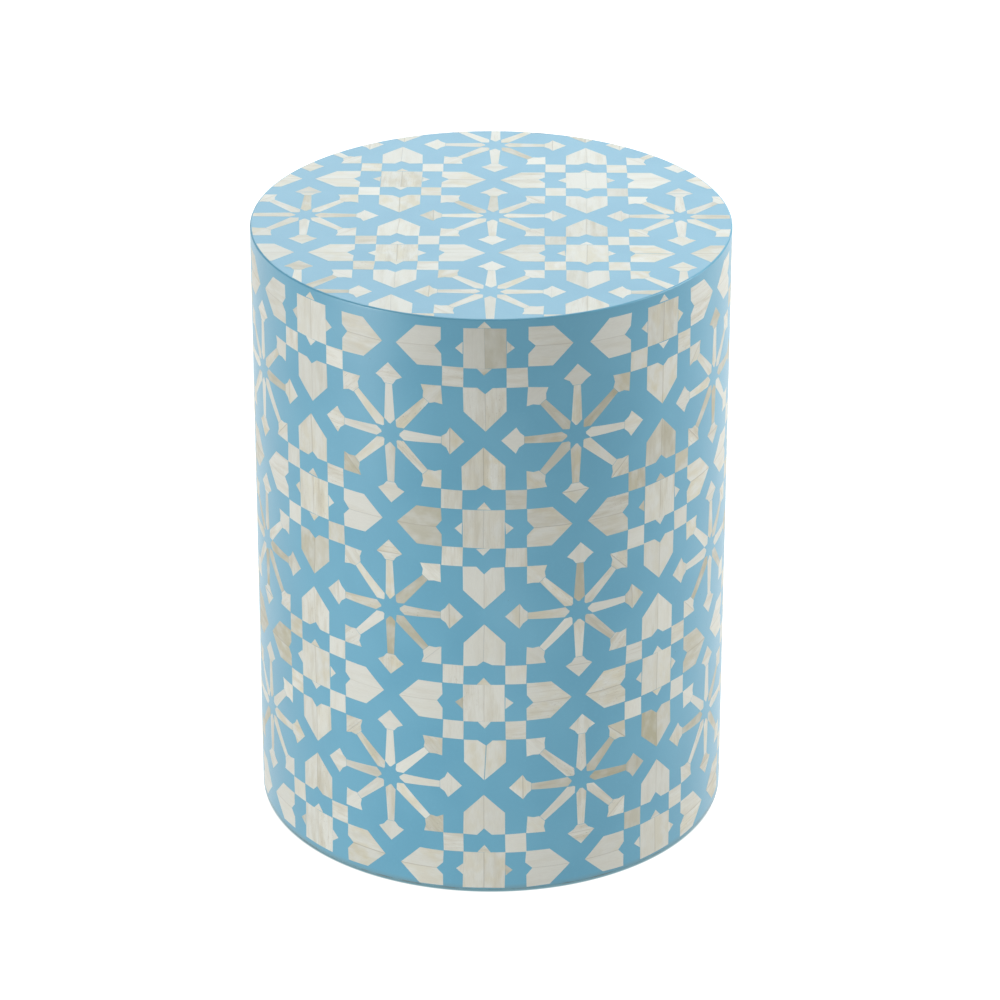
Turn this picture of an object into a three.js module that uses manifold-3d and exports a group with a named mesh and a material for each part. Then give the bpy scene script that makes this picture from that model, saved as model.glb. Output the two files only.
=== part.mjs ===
// A round drum stool in the Moroccan kursi manner. A plywood drum carries a skin of blue resin,
// and bone tiles set in the resin draw an eight-fold star pattern round the side and over the seat.
// Millimetres, +Z up. The origin is on the floor under the drum's axis, and the front is at -Y.
import * as THREE from "three";
import { mergeVertices } from "three/addons/utils/BufferGeometryUtils.js";
import Module from "manifold-3d";

// Driving sizes of the drum
const drumDiameter = 350;
const drumHeight = 460; // from the lower rim to the seat
const rimLift = 2; // the glides hold the lower rim this far off the floor
const starColumns = 8; // repeats of the pattern round the side
const seam = 0.3; // the gap between two pieces that touch
const overrun = 1; // how far a cutter reaches past what it cuts

// The skin of resin and bone
const boneThickness = 1.2; // the part of each tile that stands clear of the resin bed
const resinThickness = 1.2; // the bed itself
const lowerBand = 4; // plain resin band at the foot, flush with the tiles
const footBevel = 0.8; // bevel under that band
const rimRadius = 2.5; // round between the side and the seat

// The carcass
const boardThickness = 18; // seat board and former rings
const baseThickness = 12;
const baseRecess = 3; // the base board sits this far up inside the rim
const plyThickness = 4; // each of the two wraps
const buttGap = 1; // where the two ends of a wrap meet
const formerWidth = 46; // radial width of a former ring
const battenCount = 6;
const battenWidth = 30;
const battenDepth = 18;
const glideCount = 4;
const glideRadius = 11;
const glideBevel = 1;

// The bone pattern
const starSide = 30.4; // the square in the middle of a star tile, and the width of a shield tile
const starPoint = 5.5; // how far each point stands out of that square
const squareSide = 15.2;
const shieldGap = 10.2; // between the tips of two shields
const hubRadius = 10.5; // where the spokes of a rosette part
const hubRun = 2.5; // how far they run on inwards from there, round the open middle
const neckHalf = 2.5; // half the width of a spoke where its head starts
const headHalf = 10.2; // half the width of a spoke's head, whose front is cut at 45 degrees
const headLength = 16.5;
const cornerJoin = 0.8; // length of the edge that two tiles share where their corners touch
const panelGap = 0.8; // how far a spoke's head keeps off the next panel's square
const pointMargin = 0.7; // between the top row of stars and the seat's rim
const footMargin = 1.3; // between the lowest stars and the plain band
const seatShift = 9.4; // how far the seat's pattern is laid behind the drum's axis
const seatTurn = THREE.MathUtils.degToRad(0.9); // and how far it is turned
const leastEdgeTile = 5; // a cut tile that is narrower than this, on average, is left to the resin

// Fineness of the round forms
const drumFacets = 40;
const hiddenFacets = 32;
const openingFacets = 16;
const formerArcSteps = 4;
const rimSteps = 2;
const glideFacets = 10;
const sameCorner = 0.0001; // two corners of a tile nearer than this are one

// Levels that follow from the sizes
const footLevel = rimLift;
const seatLevel = footLevel + drumHeight;
const bedLevel = seatLevel - boneThickness - seam;
const slabBottom = bedLevel - resinThickness;
const carcassTop = slabBottom - seam;
const boardBottom = carcassTop - boardThickness;
const baseBottom = footLevel + baseRecess;
const baseTop = baseBottom + baseThickness;

// The grid of the pattern
const fullTurn = 2 * Math.PI;
const eighth = fullTurn / 8;
const pitch = (Math.PI * drumDiameter) / starColumns;
const starHalf = starSide / 2;
const starReach = starHalf + starPoint;
const clusterHalf = starHalf + squareSide;
const topStarLevel = carcassTop - pointMargin - starReach;
const footStarLevel = footLevel + lowerBand + footMargin + starHalf;
const rosetteRows = Math.max(1, Math.round((topStarLevel - footStarLevel) / pitch));
const rowPitch = (topStarLevel - footStarLevel) / rosetteRows;
const spokeReach = Math.hypot(pitch / 2 - clusterHalf, rowPitch / 2 - clusterHalf);

// Radii, from the face of the tiles inwards. A tile's back is made of straight stretches, which lie
// inside the round that their ends stand on.
const drumRadius = drumDiameter / 2;
const rimRound = Math.min(rimRadius, seatLevel - slabBottom);
const fieldRadius = drumRadius - rimRound;
const tileBack = drumRadius - boneThickness;
const longestStretch = Math.max(starSide, spokeReach - headLength - hubRadius);
const bedRadius = tileBack - chordSag(longestStretch, drumRadius) - seam;
const sleeveInside = bedRadius - resinThickness;
const carcassRadius = clearInside(sleeveInside, drumFacets);

// Finishes
const finish = (color, roughness) => new THREE.MeshStandardMaterial({ color, roughness, metalness: 0 });
const resin = finish(0x6fb3d6, 0.35);
const bone = finish(0xe6e1d2, 0.4);
bone.flatShading = true;
const plywood = finish(0xc9a777, 0.8);
const fibreboard = finish(0xa98a63, 0.85);
const pine = finish(0xd8b98a, 0.8);
const nylon = finish(0xe9e7e0, 0.5);

const wasm = await Module();
wasm.setup();

// How far the middle of a straight chord lies inside the circle it spans.
function chordSag(span, radius) {
  return radius - Math.sqrt(radius ** 2 - (span / 2) ** 2);
}

// The clear radius inside a round that is drawn with straight facets.
function clearInside(radius, facets) {
  return radius * Math.cos(Math.PI / facets) - seam;
}

function solidOf(geometry) {
  const bare = geometry.clone();
  bare.deleteAttribute("normal");
  bare.deleteAttribute("uv");
  const merged = mergeVertices(bare);
  const vertProperties = merged.attributes.position.array;
  const triVerts = new Uint32Array(merged.index.array);
  return new wasm.Manifold(new wasm.Mesh({ numProp: 3, vertProperties, triVerts }));
}

function geometryOf(solid) {
  const { vertProperties, triVerts } = solid.getMesh();
  const geometry = new THREE.BufferGeometry();
  geometry.setAttribute("position", new THREE.BufferAttribute(vertProperties, 3));
  geometry.setIndex(new THREE.BufferAttribute(triVerts, 1));
  geometry.computeVertexNormals();
  return geometry;
}

// Revolves (radius, height) pairs that run up the outside of the piece.
function turned(profile, facets) {
  const points = profile.map(([radius, height]) => new THREE.Vector2(radius, height));
  return new THREE.LatheGeometry(points, facets).rotateX(Math.PI / 2);
}

function discOf(radius, thickness, facets) {
  return turned([[0, 0], [radius, 0], [radius, thickness], [0, thickness]], facets);
}

// An arc in a shape is drawn with twice as many steps as the extrusion's curveSegments.
function extruded(shape, height, arcSteps) {
  const options = { depth: height, bevelEnabled: false, curveSegments: arcSteps / 2 };
  return new THREE.ExtrudeGeometry(shape, options);
}

// A number of angles evenly round the axis.
function anglesRound(count, start) {
  return Array.from({ length: count }, (_, i) => start + (i * fullTurn) / count);
}

const stool = new THREE.Group();
function addPart(name, geometry, material) {
  const mesh = new THREE.Mesh(geometry, material);
  mesh.name = name;
  stool.add(mesh);
  return mesh;
}

// A group turned about the axis, for a piece that stands out along its X.
function placedRound(angle) {
  const arm = new THREE.Group();
  arm.rotation.z = angle;
  stool.add(arm);
  return arm;
}

// A bent plywood wrap: one sheet round the drum, whose ends meet in a butt joint.
function wrapGeometry(outerRadius, jointAngle) {
  const innerRadius = outerRadius - plyThickness;
  const half = buttGap / 2 / outerRadius;
  const sheet = new THREE.Shape();
  sheet.absarc(0, 0, outerRadius, jointAngle + half, jointAngle + fullTurn - half, false);
  sheet.absarc(0, 0, innerRadius, jointAngle + fullTurn - half, jointAngle + half, true);
  return extruded(sheet, boardBottom - seam - footLevel, hiddenFacets);
}

const frontSide = -Math.PI / 2;
const backSide = Math.PI / 2;
const outerWrapInside = clearInside(carcassRadius - plyThickness, hiddenFacets);
const wallInside = clearInside(outerWrapInside - plyThickness, hiddenFacets);
addPart("outer_ply_wrap", wrapGeometry(carcassRadius, backSide), plywood).position.z = footLevel;
addPart("inner_ply_wrap", wrapGeometry(outerWrapInside, frontSide), plywood).position.z = footLevel;

// The battens stand against the wall, so their outer corners set how far out they reach. The first
// backs the joint of the inner wrap.
const battenOut = Math.sqrt(wallInside ** 2 - (battenWidth / 2) ** 2);
const battenIn = battenOut - battenDepth;
const lowFormerBottom = baseTop + seam;
const topFormerBottom = boardBottom - seam - boardThickness;
const battenLength = topFormerBottom + boardThickness - lowFormerBottom;
const battenAngles = anglesRound(battenCount, frontSide);
const battenForm = new THREE.BoxGeometry(battenDepth, battenWidth, battenLength);
battenAngles.forEach((angle, i) => {
  const batten = addPart(`batten_${i + 1}`, battenForm, pine);
  batten.position.set(battenIn + battenDepth / 2, 0, lowFormerBottom + battenLength / 2);
  placedRound(angle).add(batten);
});

// A former ring, with a slot in its edge for each batten.
function formerGeometry() {
  const slotHalf = battenWidth / 2 + seam;
  const slotFloor = battenIn - seam;
  const mouth = Math.asin(slotHalf / wallInside);
  const ring = new THREE.Shape();
  battenAngles.forEach((angle, i) => {
    const middle = pointAt(slotFloor, angle);
    const across = pointAt(slotHalf, angle + Math.PI / 2);
    const start = middle.clone().sub(across);
    const end = middle.clone().add(across);
    if (i === 0) ring.moveTo(start.x, start.y);
    else ring.lineTo(start.x, start.y);
    ring.lineTo(end.x, end.y);
    ring.absarc(0, 0, wallInside, angle + mouth, angle + fullTurn / battenCount - mouth, false);
  });
  const blank = solidOf(extruded(ring, boardThickness, formerArcSteps));
  const cutter = discOf(formerInner, boardThickness + 2 * overrun, openingFacets).translate(0, 0, -overrun);
  return geometryOf(blank.subtract(solidOf(cutter)));
}

const formerInner = wallInside - formerWidth;
const formerForm = formerGeometry();
const middleFormerBottom = (lowFormerBottom + topFormerBottom) / 2;
addPart("lower_former_ring", formerForm, fibreboard).position.z = lowFormerBottom;
addPart("middle_former_ring", formerForm, fibreboard).position.z = middleFormerBottom;
addPart("upper_former_ring", formerForm, fibreboard).position.z = topFormerBottom;
const seatBoardForm = discOf(carcassRadius, boardThickness, hiddenFacets);
const baseBoardForm = discOf(wallInside, baseThickness, hiddenFacets);
addPart("seat_board", seatBoardForm, fibreboard).position.z = boardBottom;
addPart("base_board", baseBoardForm, fibreboard).position.z = baseBottom;

// The glides are nailed up through the base board into the lower former, between its opening and
// its slots.
const glideTop = baseBottom - seam;
const glideForm = turned(
  [[0, 0], [glideRadius - glideBevel, 0], [glideRadius, glideBevel], [glideRadius, glideTop], [0, glideTop]],
  glideFacets,
);
anglesRound(glideCount, frontSide + Math.PI / glideCount).forEach((angle, i) => {
  const glide = addPart(`glide_${i + 1}`, glideForm, nylon);
  glide.position.x = (formerInner + battenIn) / 2;
  placedRound(angle).add(glide);
});

// The resin round the side: a bed for the tiles, and a plain band at the foot.
const sleeveProfile = [
  [sleeveInside, footLevel],
  [drumRadius - footBevel, footLevel],
  [drumRadius, footLevel + footBevel],
  [drumRadius, footLevel + lowerBand],
  [bedRadius, footLevel + lowerBand],
  [bedRadius, carcassTop],
  [sleeveInside, carcassTop],
  [sleeveInside, footLevel],
];
addPart("side_resin", turned(sleeveProfile, drumFacets), resin);

// The resin over the seat: a bed for the tiles inside a rounded rim that is flush with them.
const rimArc = Array.from({ length: rimSteps + 1 }, (_, i) => {
  const angle = (i / rimSteps) * (Math.PI / 2);
  return [fieldRadius + rimRound * Math.cos(angle), seatLevel - rimRound + rimRound * Math.sin(angle)];
});
const slabProfile = [
  [0, slabBottom],
  [drumRadius, slabBottom],
  ...rimArc,
  [fieldRadius, bedLevel],
  [0, bedLevel],
];
addPart("seat_resin", turned(slabProfile, drumFacets), resin);

// The tiles are flat polygons, counter-clockwise, that share whole edges. A wide tile is made of two
// or three, so that it bends round the drum.
function pointAt(radius, angle) {
  return new THREE.Vector2(radius * Math.cos(angle), radius * Math.sin(angle));
}

const vectors = (pairs) => pairs.map(([x, y]) => new THREE.Vector2(x, y));
const mirrored = (polygon) => polygon.map(({ x, y }) => new THREE.Vector2(-x, y)).reverse();

function placed(polygons, x, y, angle) {
  const origin = new THREE.Vector2();
  const shift = new THREE.Vector2(x, y);
  return polygons.map((polygon) => polygon.map((p) => p.clone().rotateAround(origin, angle).add(shift)));
}

// A right-angled corner that points along the angle. Where it touches another tile's corner, the two
// share a short edge across it.
function cornerAt(x, y, angle, touches) {
  const corner = new THREE.Vector2(x, y);
  if (!touches) return [corner];
  const across = pointAt(cornerJoin / 2, angle + Math.PI / 2);
  return [corner.clone().sub(across), corner.clone().add(across)];
}

// A square with a point on each side, in two halves. The lowest stars have no point at the foot.
function starTile(squaresAbove, squaresBelow) {
  const foot = squaresBelow ? [[0, -starReach], [starPoint, -starHalf]] : [[0, -starHalf]];
  const half = [
    ...vectors(foot),
    ...cornerAt(starHalf, -starHalf, -eighth, squaresBelow),
    ...vectors([[starHalf, -starPoint], [starReach, 0], [starHalf, starPoint]]),
    ...cornerAt(starHalf, starHalf, eighth, squaresAbove),
    ...vectors([[starPoint, starHalf], [0, starReach]]),
  ];
  return [half, mirrored(half)];
}

// A small square, whose outer corner may touch the head of a spoke.
function squareTile(outerTouches) {
  const half = squareSide / 2;
  return [[
    ...cornerAt(-half, -half, -3 * eighth, true),
    ...cornerAt(half, -half, -eighth, true),
    ...cornerAt(half, half, eighth, outerTouches),
    ...cornerAt(-half, half, 3 * eighth, true),
  ]];
}

// A shield that points along +Y, between the squares to its left and right.
function shieldTile(length, leftTouches, rightTouches) {
  const shoulder = length - starHalf;
  const body = [
    ...cornerAt(-starHalf, 0, -3 * eighth, leftTouches),
    ...cornerAt(starHalf, 0, -eighth, rightTouches),
    ...vectors([[starHalf, shoulder], [-starHalf, shoulder]]),
  ];
  return [body, vectors([[starHalf, shoulder], [0, length], [-starHalf, shoulder]])];
}

// A star with a square at each of its corners and a shield off each of its sides.
function clusterTiles(x, y, pitchUp, row) {
  const lengthAcross = (pitch - shieldGap) / 2 - clusterHalf;
  const lengthUp = (pitchUp - shieldGap) / 2 - clusterHalf;
  const out = starHalf + squareSide / 2;
  const tiles = [
    ...placed(starTile(row.above, row.below), x, y, 0),
    ...placed(shieldTile(lengthAcross, row.above, row.below), x + clusterHalf, y, -2 * eighth),
    ...placed(shieldTile(lengthAcross, row.below, row.above), x - clusterHalf, y, 2 * eighth),
  ];
  if (row.above) {
    tiles.push(...placed(shieldTile(lengthUp, true, true), x, y + clusterHalf, 0));
    tiles.push(...placed(squareTile(row.rosetteRight), x + out, y + out, 0));
    tiles.push(...placed(squareTile(true), x - out, y + out, 2 * eighth));
  }
  if (row.below) {
    tiles.push(...placed(shieldTile(lengthUp, true, true), x, y - clusterHalf, 4 * eighth));
    tiles.push(...placed(squareTile(true), x - out, y - out, 4 * eighth));
    tiles.push(...placed(squareTile(row.rosetteRight), x + out, y - out, -2 * eighth));
  }
  return tiles;
}

// Eight tapered spokes with arrow heads, joined at their roots round an open middle. The slanted
// ones end on the corners of the squares round the rosette, but on its left they may stop short.
function rosetteTiles(x, y, pitchUp, touchesLeft) {
  const cornerX = pitch / 2 - clusterHalf;
  const cornerY = pitchUp / 2 - clusterHalf;
  const slant = Math.atan2(cornerY, cornerX);
  const half = 4 * eighth;
  const angles = [0, slant, 2 * eighth, half - slant, half, half + slant, 6 * eighth, -slant];
  const openRadius = hubRadius - hubRun;
  const spokes = angles.map((angle, i) => {
    const before = angles.at(i - 1);
    const after = angles.at((i + 1) % angles.length);
    const touches = i % 2 === 1 && (touchesLeft || Math.cos(angle) > 0);
    const reach = Math.hypot(cornerX, cornerY) - (touches ? 0 : panelGap);
    const startAngle = middleAngle(before, angle);
    const endAngle = middleAngle(angle, after);
    const start = pointAt(hubRadius, startAngle);
    const end = pointAt(hubRadius, endAngle);
    const root = [pointAt(openRadius, startAngle), start, end, pointAt(openRadius, endAngle)];
    const inSpoke = (pairs) => placed([vectors(pairs)], 0, 0, angle)[0];
    const brow = reach - headHalf;
    const [neckStart, neckEnd] = inSpoke([[reach - headLength, -neckHalf], [reach - headLength, neckHalf]]);
    const [browStart, browEnd] = inSpoke([[brow, -headHalf], [brow, headHalf]]);
    const tip = pointAt(reach, angle);
    const head = [neckStart, browStart, ...cornerAt(tip.x, tip.y, i * eighth, touches), browEnd, neckEnd];
    return [root, [start, neckStart, neckEnd, end], head];
  });
  return placed(spokes.flat(), x, y, 0);
}

// The angle half way from one direction to the next, counter-clockwise.
function middleAngle(from, to) {
  return from + THREE.MathUtils.euclideanModulo(to - from, fullTurn) / 2;
}

// The solid of a set of tiles. lay puts a flat point in space, on the back at level 0 and on the
// face at level 1.
function tileGeometry(polygons, lay) {
  const corners = [];
  const known = new Map();
  const indexOf = (point) => {
    const key = `${Math.round(point.x / sameCorner)} ${Math.round(point.y / sameCorner)}`;
    if (!known.has(key)) known.set(key, corners.push(point) - 1);
    return known.get(key);
  };
  const faces = polygons.flatMap((polygon) => {
    const ids = polygon.map(indexOf);
    return THREE.ShapeUtils.triangulateShape(polygon, []).map((face) => face.map((i) => ids[i]));
  });
  const edges = faces.flatMap(([a, b, c]) => [[a, b], [b, c], [c, a]]);
  const runs = new Set(edges.map(([a, b]) => `${a} ${b}`));
  const outline = edges.filter(([a, b]) => !runs.has(`${b} ${a}`));
  const count = corners.length;
  const index = faces.flatMap(([a, b, c]) => [a + count, b + count, c + count, a, c, b]);
  outline.forEach(([a, b]) => index.push(a, b, b + count, a, b + count, a + count));
  const places = [0, 1].flatMap((level) => corners.map(({ x, y }) => lay(x, y, level)));
  const geometry = new THREE.BufferGeometry().setFromPoints(places);
  geometry.setIndex(index);
  geometry.computeVertexNormals();
  return geometry;
}

// Round the side: X is the arc along the drum's face from the front, and Y is the height.
function layOnSide(x, y, level) {
  const radius = tileBack + level * boneThickness;
  const angle = x / drumRadius;
  return new THREE.Vector3(radius * Math.sin(angle), -radius * Math.cos(angle), y);
}

// One repeat of the side: a column of stars and the column of rosettes to its left.
function sidePanelTiles() {
  const tiles = [];
  for (let row = 0; row <= rosetteRows; row += 1) {
    const level = footStarLevel + row * rowPitch;
    const around = { above: row < rosetteRows, below: row > 0, rosetteRight: false };
    tiles.push(...clusterTiles(0, level, rowPitch, around));
    if (around.above) tiles.push(...rosetteTiles(-pitch / 2, level + rowPitch / 2, rowPitch, false));
  }
  return tiles;
}

const panelForm = tileGeometry(sidePanelTiles(), layOnSide);
anglesRound(starColumns, 0).forEach((angle, i) => {
  addPart(`side_inlay_panel_${i + 1}`, panelForm, bone).rotation.z = angle;
});

// Over the seat: the same pattern on a square grid, shifted and turned a little, and cut to the rim.
function layOnSeat(x, y, level) {
  const place = new THREE.Vector3(x, y, seatLevel - (1 - level) * boneThickness);
  place.applyAxisAngle(new THREE.Vector3(0, 0, 1), seatTurn);
  place.y += seatShift;
  return place;
}

function seatTiles() {
  const reach = Math.ceil((drumRadius + seatShift) / pitch);
  const around = { above: true, below: true, rosetteRight: true };
  const tiles = [];
  for (let i = -reach; i <= reach; i += 1) {
    for (let j = -reach; j <= reach; j += 1) {
      tiles.push(...rosetteTiles(i * pitch, j * pitch, pitch, true));
      tiles.push(...clusterTiles((i + 1 / 2) * pitch, (j + 1 / 2) * pitch, pitch, around));
    }
  }
  return tiles;
}

// The whole lattice comes out as the largest body, and the tiles that the rim cuts off as the rest.
function seatInlaySolids() {
  const cutRadius = clearInside(fieldRadius, drumFacets);
  const cutter = discOf(cutRadius, boneThickness + 2 * overrun, drumFacets);
  const field = solidOf(cutter.translate(0, 0, seatLevel - boneThickness - overrun));
  const bodies = solidOf(tileGeometry(seatTiles(), layOnSeat)).intersect(field).decompose();
  const largeEnough = bodies.filter((body) => body.volume() > leastEdgeTile ** 2 * boneThickness);
  return largeEnough.sort((a, b) => b.volume() - a.volume());
}

seatInlaySolids().forEach((body, i) => {
  addPart(i === 0 ? "seat_inlay" : `seat_edge_tile_${i}`, geometryOf(body), bone);
});

export default stool;
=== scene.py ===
"""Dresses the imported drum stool: blue resin, bone inlay and the finish of each piece inside.

The stool's sizes are millimetres, and MM turns them to Blender's metres. The camera, the lights and
the floor are in metres. +Z is up and the front is at -Y.
"""
import math
import random
from dataclasses import dataclass, replace

import bmesh
import bpy
from mathutils import Matrix, Vector


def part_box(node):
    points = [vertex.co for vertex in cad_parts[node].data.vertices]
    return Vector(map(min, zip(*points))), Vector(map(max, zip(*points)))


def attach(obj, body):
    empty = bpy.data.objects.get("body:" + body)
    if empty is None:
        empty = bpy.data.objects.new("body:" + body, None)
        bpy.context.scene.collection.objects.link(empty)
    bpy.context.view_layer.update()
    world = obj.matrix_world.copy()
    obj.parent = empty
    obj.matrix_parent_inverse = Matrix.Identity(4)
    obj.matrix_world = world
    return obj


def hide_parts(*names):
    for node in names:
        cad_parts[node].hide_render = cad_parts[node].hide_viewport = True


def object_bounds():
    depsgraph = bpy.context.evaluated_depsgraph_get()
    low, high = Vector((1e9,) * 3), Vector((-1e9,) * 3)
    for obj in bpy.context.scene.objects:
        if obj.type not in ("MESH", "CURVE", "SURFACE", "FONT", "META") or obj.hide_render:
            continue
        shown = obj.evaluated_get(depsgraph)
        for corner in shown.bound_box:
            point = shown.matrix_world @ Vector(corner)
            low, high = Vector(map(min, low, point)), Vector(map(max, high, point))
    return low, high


MM = 0.001
UPRIGHT = math.pi / 2
FULL_TURN = 2 * math.pi
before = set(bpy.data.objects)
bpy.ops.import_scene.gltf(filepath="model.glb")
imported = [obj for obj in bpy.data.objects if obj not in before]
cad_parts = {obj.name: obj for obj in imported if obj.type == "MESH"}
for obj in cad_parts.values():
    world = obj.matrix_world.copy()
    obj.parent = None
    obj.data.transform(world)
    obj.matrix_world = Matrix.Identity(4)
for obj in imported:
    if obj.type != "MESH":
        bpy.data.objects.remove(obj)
cad_low, cad_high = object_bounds()

# Sizes of the drum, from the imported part
DRUM_RADIUS = cad_high.x / MM
SEAT_LEVEL = cad_high.z / MM
FOOT_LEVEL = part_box("side_resin")[0].z / MM
BOARD_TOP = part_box("seat_board")[1].z / MM
WRAP_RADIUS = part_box("outer_ply_wrap")[1].x / MM

# The skin of resin
RIM_RADIUS = 1.2  # round between the side and the seat
FOOT_BEVEL = 0.8
SKIN_GAP = 0.1  # between the skin and the wood that it is cast on
SKIN_BELOW_BONE = 0.05  # the resin shrinks a little under the tiles as it cures
SKIN_STEPS = 256
LOOP_GUARD = 0.3  # width of the narrow bands that keep the shading of flat and round apart

# The tiles as solids
BONE_THICKNESS = 1.6
BONE_EDGE = 0.12  # what sanding takes off a tile's edges
BEND_STEP = 4.5  # a tile is bent round the drum in strips of this width
BEND_SNAP = 0.4  # a corner this near to the edge of a strip counts as on it
FIELD_MARGIN = 0.1  # between the seat's tiles and the round of the rim
FIELD_FACETS = 120

# The carcass, as far as it shows from below
PLY_THICKNESS = 4
VENEERS = 3
ARRIS = 0.4  # the edges of boards and sheets are eased by this much
BUTT_GAP = 0.8
BOARD_STEPS = 160
GLIDE_COUNT = 4
GLIDE_STEPS = 80
GLIDE_RADIUS = 11
GLIDE_ROUND = 1.4
GLIDE_DRAFT = 0.3
GATE_RADIUS = 1.2  # the dimple that the mould's gate leaves
GATE_DEPTH = 0.3
SCREW_COUNT = 6
SCREW_STEPS = 24
SCREW_RADIUS = 3.8
SCREW_RISE = 2.3
SCREW_BRIM = 0.5  # the upright edge under the dome
SCREW_FLAT = 2.9  # radius of the middle of the dome, where the recess is cut
RECESS_REACH = 1.9
RECESS_HALF = 0.42
RECESS_DEPTH = 1.5
RECESS_FLOOR_SHARE = 0.7  # the recess narrows to this share of its width

# Meshes
QUARTER_STEPS = 8  # facets in a quarter of a round edge
MERGE_DISTANCE = 0.001
SHARP_ANGLE = math.radians(25)  # steeper edges aren't shaded smooth
WALL_LIMIT = 0.5  # the normal of a tile's wall rises less than this

# The pattern
COLUMNS = 8
STAR_ROWS = 4
STAR_HALF = 15.2  # half the square in the middle of a star, and half the width of a shield
STAR_POINT = 5.8  # how far a point stands out of that square
STAR_POINT_HALF = 5.1
SQUARE_SIDE = 15.2
SHIELD_GAP = 10.2  # between the tips of two shields
NOTCH_DEPTH = 4.6
NOTCH_HALF = 5.4
HUB_TIP = 7.3  # the inner ends of the spokes leave an eight-pointed star of resin
HUB_TIP_HALF = 0.7
SHOULDER = 11
SHOULDER_HALF = 4.1
SHAFT_END_HALF = 2.7
NECK_HALF = 3.3
HEAD_HALF = 10.4
HEAD_LENGTH = 16.4
HEAD_WAIST_BACK = 13  # where the back edges of a head are drawn in, behind its tip
HEAD_WAIST_HALF = 5.9
TOP_STAR_DROP = 24.3  # from the seat to the middle of the top stars
FOOT_STAR_RISE = 20.2  # from the resin's foot to the middle of the lowest stars
SEAT_PITCH = 136.6
SEAT_SHIFT = Vector((0.9, 9.4))
SEAT_TURN = math.radians(0.9)

PITCH = FULL_TURN * DRUM_RADIUS / COLUMNS
TOP_STAR_LEVEL = SEAT_LEVEL - TOP_STAR_DROP
FOOT_STAR_LEVEL = FOOT_LEVEL + FOOT_STAR_RISE
ROW_PITCH = (TOP_STAR_LEVEL - FOOT_STAR_LEVEL) / (STAR_ROWS - 1)
CLUSTER_HALF = STAR_HALF + SQUARE_SIDE
SEAT_FIELD = DRUM_RADIUS - RIM_RADIUS - FIELD_MARGIN  # the seat's tiles are cut to this radius

# How far the hand strays from the pattern
SEED = 7
CORNER_STRAY = 0.22
NOTCH_STRAY = 0.5
TILE_STRAY = 0.15
TILE_TURN = math.radians(0.5)
TILE_SINK = 0.03
MOTIF_STRAY = 0.3
COLUMN_STRAY = 0.8
ROW_STRAY = 0.6
TIGHT_JOINT = (0.01, 0.04)  # the least and the most width
POINT_JOINT = (0.01, 0.08)
OPEN_JOINT = (0.2, 0.35)  # filled with resin
OPEN_SHARE = 0.05
SPLIT_HEAD_SHARE = 0.35

# The slips' tones. Lightness runs from about -1 to 1.
LIGHTNESS_SPREAD = 0.35
DARK_STEP = 0.9
DARK_SHARE = 0.09  # of the slips are darker by that step
DARK_SPOKE_SHARE = 0.28
TONE_CHANGE = 0.35  # how far the second slip of a pair may differ from the first
SEAT_TONE_SHARE = 0.55  # the seat has the paler slips, more alike than those of the side
FREE_OF_JOINT = 50  # the distance given to tiles that have no joint

# The bone's figure: the size of each feature along the grain, across it and into the bone
BONE_PATCH = (13, 8, 8)
BONE_CLOUD = (28, 6, 6)
BONE_STREAK = (26, 1.3, 5)
BONE_FIBRE = (4, 0.35, 1)
BONE_PORE = (2.4, 0.4, 1)
GRAIN_OFFSET = 900  # each slip is sawn from another place in the bone
GLUE_CORE = 0.05  # a joint is darkest this near to its middle
GLUE_REACH = 0.55  # and is clean from here on

# The other finishes: the size of each feature along X, Y and Z
PIGMENT_CLOUD = (45, 45, 45)
PIGMENT_SPECK = (2.2, 2.2, 2.2)
SANDING_MARK = (0.8, 0.8, 0.8)
CASTING_WAVE = (18, 18, 18)
PLY_FIGURE = (9, 9, 140)
PLY_PORE = (0.4, 0.4, 5)
PINE_FIBRE = (0.5, 0.5, 30)
SAW_MARK = (30, 30, 1.1)
BOARD_MOTTLE = (16, 16, 16)
BOARD_FLECK = (1.6, 1.1, 0.6)
NYLON_CLOUD = (6, 6, 6)
MOULD_TEXTURE = (0.35, 0.35, 0.35)
ZINC_BLOOM = (2.5, 2.5, 2.5)
ZINC_CRYSTAL = (0.3, 0.3, 0.3)

# Bubbles, dirt and painted shade in the resin, glue lines in the plywood and the rings of the pine
BUBBLE_SPACING = 16
BUBBLE_RADIUS = 0.45
DUST_AND_SHADE_HEIGHT = 5  # dust, with painted shade near the floor, greys the resin up to this far above its foot
SCUFF_AND_SHADE_HEIGHT = 1.5  # and scuffs, with painted shade over the bevel of the foot, reach this far
GLUE_LINE = 0.15
RING_SPACING = 3.2
RING_LEAN = (1, 0.6, 0.04)  # the rings cross the batten aslant and run along it
WAVE_PERIOD = FULL_TURN / 20  # of a wave texture at a scale of 1

# The camera stands where the photograph's did: fitted to the drum's outline and its pattern
CAMERA_AZIMUTH = math.radians(1.6)
CAMERA_ELEVATION = math.radians(26.5)
CAMERA_DISTANCE = 3.4644
FOCAL_LENGTH = 166.8
TARGET_HEIGHT = cad_high.z / 2
TARGET_PIXEL = (491.2, 505.6)
PICTURE_WIDTH = 1000

# The floor and the room
FLOOR_RADIUS = 40
FLOOR_STEPS = 64
FLOOR_GLOW = 1.13
PAINTED_SHADE_EDGE = 2  # millimetres over which the painted shade under the drum sets in
ROOM_GLOW = 0.2

random_hand = random.Random(SEED)


def linear(hex_colour):
    """The linear colour of an sRGB hex value."""
    colour = []
    for start in (1, 3, 5):
        channel = int(hex_colour[start : start + 2], 16) / 255
        steep = ((channel + 0.055) / 1.055) ** 2.4
        colour.append(channel / 12.92 if channel <= 0.04045 else steep)
    return (*colour, 1)


# Flat tiles


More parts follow.
